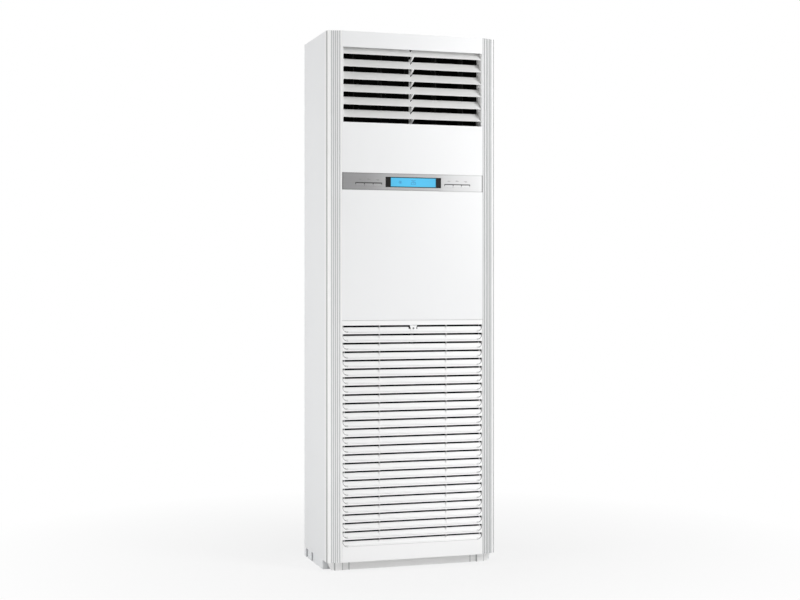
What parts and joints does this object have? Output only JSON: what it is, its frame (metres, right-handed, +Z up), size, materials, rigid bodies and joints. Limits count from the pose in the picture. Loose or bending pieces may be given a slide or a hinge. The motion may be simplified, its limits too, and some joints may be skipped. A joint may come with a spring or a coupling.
{
  "type": "floor standing air conditioner",
  "caption": "Tall white floor-standing cabinet air conditioner with a louvred outlet, a silver display band, fluted side columns and a hinged slotted intake grille.",
  "frame": {"origin": "middle of the footprint's box, on the floor", "axes": "+X to the right when facing the front, +Y to the back, so the front faces -Y, +Z up"},
  "size_m": [0.6, 0.32, 1.805],
  "materials": {
    "zinc_steel": "zinc-coated sheet steel",
    "foot_black": "matt black plastic",
    "painted_white": "powder-coated sheet steel, white",
    "screw_steel": "zinc plated",
    "moulded_white": "smooth satin moulded plastic",
    "silver_band": "silver lacquered plastic",
    "black_bezel": "gloss black plastic",
    "lit_window": "clear cover over a lit blue display",
    "circuit_board": "green solder mask",
    "black_foam": "black insulating foam, matt",
    "swing_motor_case": "plated steel case",
    "motor_case": "dark grey painted steel",
    "coil_aluminium": "bare fin stock",
    "copper": "drawn copper tube",
    "union_brass": "turned brass",
    "pan_plastic": "light grey moulded plastic",
    "terminal_plastic": "pale moulded plastic",
    "capacitor_black": "black plastic case",
    "rubber_black": "black rubber",
    "vane_black": "matt moulded plastic",
    "link_grey": "grey moulded plastic",
    "silver_keys": "silver lacquered plastic",
    "lock_white": "moulded plastic",
    "filter_net": "dark net in a moulded frame",
    "wheel_grey": "grey moulded plastic",
    "motor_steel": "ground steel"
  },
  "bodies": {
    "cabinet": {"base_pan": "zinc_steel", "base_feet": "foot_black", "base_plinth": "painted_white", "side_panel_right": "painted_white", "side_panel_left": "painted_white", "rear_panel": "zinc_steel", "cabinet_screws": "screw_steel", "top_cover": "painted_white", "partition_shelf": "zinc_steel", "pilaster_right": "moulded_white", "pilaster_left": "moulded_white", "front_panel": "moulded_white", "control_fascia": "silver_band", "display_bezel": "black_bezel", "display_window": "lit_window", "control_board": "circuit_board", "outlet_cassette": "moulded_white", "outlet_duct": "black_foam", "swing_motor": "swing_motor_case", "blower_housing": "zinc_steel", "inlet_ring": "zinc_steel", "fan_motor": "motor_case", "motor_mount": "zinc_steel", "evaporator_coil": "coil_aluminium", "coil_return_bends": "copper", "gas_pipe": "copper", "liquid_pipe": "copper", "flare_unions": "union_brass", "drain_pan": "pan_plastic", "drain_pipe": "pan_plastic", "electrical_box": "zinc_steel", "electrical_box_cover": "zinc_steel", "terminal_block": "terminal_plastic", "fan_capacitor": "capacitor_black", "cable_grommet": "rubber_black"},
    "louvre_1": {"louvre_blade_1": "moulded_white"},
    "louvre_2": {"louvre_blade_2": "moulded_white"},
    "louvre_3": {"louvre_blade_3": "moulded_white"},
    "louvre_4": {"louvre_blade_4": "moulded_white"},
    "louvre_5": {"louvre_blade_5": "moulded_white"},
    "louvre_6": {"louvre_blade_6": "moulded_white"},
    "louvre_tie": {"louvre_link": "moulded_white"},
    "vane_1": {"air_vane_1": "vane_black"},
    "vane_2": {"air_vane_2": "vane_black"},
    "vane_3": {"air_vane_3": "vane_black"},
    "vane_4": {"air_vane_4": "vane_black"},
    "vane_5": {"air_vane_5": "vane_black"},
    "vane_tie": {"vane_link": "link_grey"},
    "key_1": {"control_key_1": "silver_keys"},
    "key_2": {"control_key_2": "silver_keys"},
    "key_3": {"control_key_3": "silver_keys"},
    "key_4": {"control_key_4": "silver_keys"},
    "key_5": {"control_key_5": "silver_keys"},
    "key_6": {"control_key_6": "silver_keys"},
    "grille": {"return_grille": "moulded_white"},
    "lock": {"grille_lock": "lock_white"},
    "filter_right": {"air_filter_right": "filter_net"},
    "filter_left": {"air_filter_left": "filter_net"},
    "blower": {"blower_wheel": "wheel_grey", "motor_shaft": "motor_steel"}
  },
  "joints": [
    {"name": "louvre_swing_1", "type": "hinge", "parent": "cabinet", "child": "louvre_1", "pos_m": [0, -0.135, 1.7247], "axis": [1, 0, 0], "range_deg": [-20, 44]},
    {"name": "louvre_swing_2", "type": "hinge", "parent": "cabinet", "child": "louvre_2", "pos_m": [0, -0.135, 1.6824], "axis": [1, 0, 0], "range_deg": [-20, 44]},
    {"name": "louvre_swing_3", "type": "hinge", "parent": "cabinet", "child": "louvre_3", "pos_m": [0, -0.135, 1.6401], "axis": [1, 0, 0], "range_deg": [-20, 44]},
    {"name": "louvre_swing_4", "type": "hinge", "parent": "cabinet", "child": "louvre_4", "pos_m": [0, -0.135, 1.5978], "axis": [1, 0, 0], "range_deg": [-20, 44]},
    {"name": "louvre_swing_5", "type": "hinge", "parent": "cabinet", "child": "louvre_5", "pos_m": [0, -0.135, 1.5555], "axis": [1, 0, 0], "range_deg": [-20, 44]},
    {"name": "louvre_swing_6", "type": "hinge", "parent": "cabinet", "child": "louvre_6", "pos_m": [0, -0.135, 1.5132], "axis": [1, 0, 0], "range_deg": [-20, 44]},
    {"name": "louvre_link_turn", "type": "hinge", "parent": "louvre_1", "child": "louvre_tie", "pos_m": [0, -0.12, 1.7187], "axis": [1, 0, 0], "range_deg": [-44, 20]},
    {"name": "vane_swing_1", "type": "hinge", "parent": "cabinet", "child": "vane_1", "pos_m": [-0.196, -0.084, 1.63], "axis": [0, 0, 1], "range_deg": [-30, 30]},
    {"name": "vane_swing_2", "type": "hinge", "parent": "cabinet", "child": "vane_2", "pos_m": [-0.098, -0.084, 1.63], "axis": [0, 0, 1], "range_deg": [-30, 30]},
    {"name": "vane_swing_3", "type": "hinge", "parent": "cabinet", "child": "vane_3", "pos_m": [0, -0.084, 1.63], "axis": [0, 0, 1], "range_deg": [-30, 30]},
    {"name": "vane_swing_4", "type": "hinge", "parent": "cabinet", "child": "vane_4", "pos_m": [0.098, -0.084, 1.63], "axis": [0, 0, 1], "range_deg": [-30, 30]},
    {"name": "vane_swing_5", "type": "hinge", "parent": "cabinet", "child": "vane_5", "pos_m": [0.196, -0.084, 1.63], "axis": [0, 0, 1], "range_deg": [-30, 30]},
    {"name": "vane_link_turn", "type": "hinge", "parent": "vane_3", "child": "vane_tie", "pos_m": [0, -0.064, 1.75], "axis": [0, 0, 1], "range_deg": [-30, 30]},
    {"name": "key_press_1", "type": "slide", "parent": "cabinet", "child": "key_1", "axis": [0, 1, 0], "range_m": [0, 0.001], "stiffness_N_per_m": 600},
    {"name": "key_press_2", "type": "slide", "parent": "cabinet", "child": "key_2", "axis": [0, 1, 0], "range_m": [0, 0.001], "stiffness_N_per_m": 600},
    {"name": "key_press_3", "type": "slide", "parent": "cabinet", "child": "key_3", "axis": [0, 1, 0], "range_m": [0, 0.001], "stiffness_N_per_m": 600},
    {"name": "key_press_4", "type": "slide", "parent": "cabinet", "child": "key_4", "axis": [0, 1, 0], "range_m": [0, 0.001], "stiffness_N_per_m": 600},
    {"name": "key_press_5", "type": "slide", "parent": "cabinet", "child": "key_5", "axis": [0, 1, 0], "range_m": [0, 0.001], "stiffness_N_per_m": 600},
    {"name": "key_press_6", "type": "slide", "parent": "cabinet", "child": "key_6", "axis": [0, 1, 0], "range_m": [0, 0.001], "stiffness_N_per_m": 600},
    {"name": "grille_hinge", "type": "hinge", "parent": "cabinet", "child": "grille", "pos_m": [0, -0.152, 0.041], "axis": [1, 0, 0], "range_deg": [0, 50]},
    {"name": "lock_turn", "type": "hinge", "parent": "grille", "child": "lock", "pos_m": [0, -0.155, 0.81], "axis": [0, -1, 0], "range_deg": [0, 90]},
    {"name": "filter_slide_right", "type": "slide", "parent": "grille", "child": "filter_right", "axis": [0, 0, 1], "range_m": [0, 0.25]},
    {"name": "filter_slide_left", "type": "slide", "parent": "grille", "child": "filter_left", "axis": [0, 0, 1], "range_m": [0, 0.25]},
    {"name": "blower_spin", "type": "hinge", "parent": "cabinet", "child": "blower", "pos_m": [-0.03, 0, 0.44], "axis": [0, -1, 0], "continuous": true}
  ],
  "couplings": [
    {"joint": "louvre_swing_2", "follows": "louvre_swing_1", "ratio": 1},
    {"joint": "louvre_swing_3", "follows": "louvre_swing_1", "ratio": 1},
    {"joint": "louvre_swing_4", "follows": "louvre_swing_1", "ratio": 1},
    {"joint": "louvre_swing_5", "follows": "louvre_swing_1", "ratio": 1},
    {"joint": "louvre_swing_6", "follows": "louvre_swing_1", "ratio": 1},
    {"joint": "louvre_link_turn", "follows": "louvre_swing_1", "ratio": -1},
    {"joint": "vane_swing_1", "follows": "vane_swing_3", "ratio": 1},
    {"joint": "vane_swing_2", "follows": "vane_swing_3", "ratio": 1},
    {"joint": "vane_swing_4", "follows": "vane_swing_3", "ratio": 1},
    {"joint": "vane_swing_5", "follows": "vane_swing_3", "ratio": 1},
    {"joint": "vane_link_turn", "follows": "vane_swing_3", "ratio": -1}
  ]
}
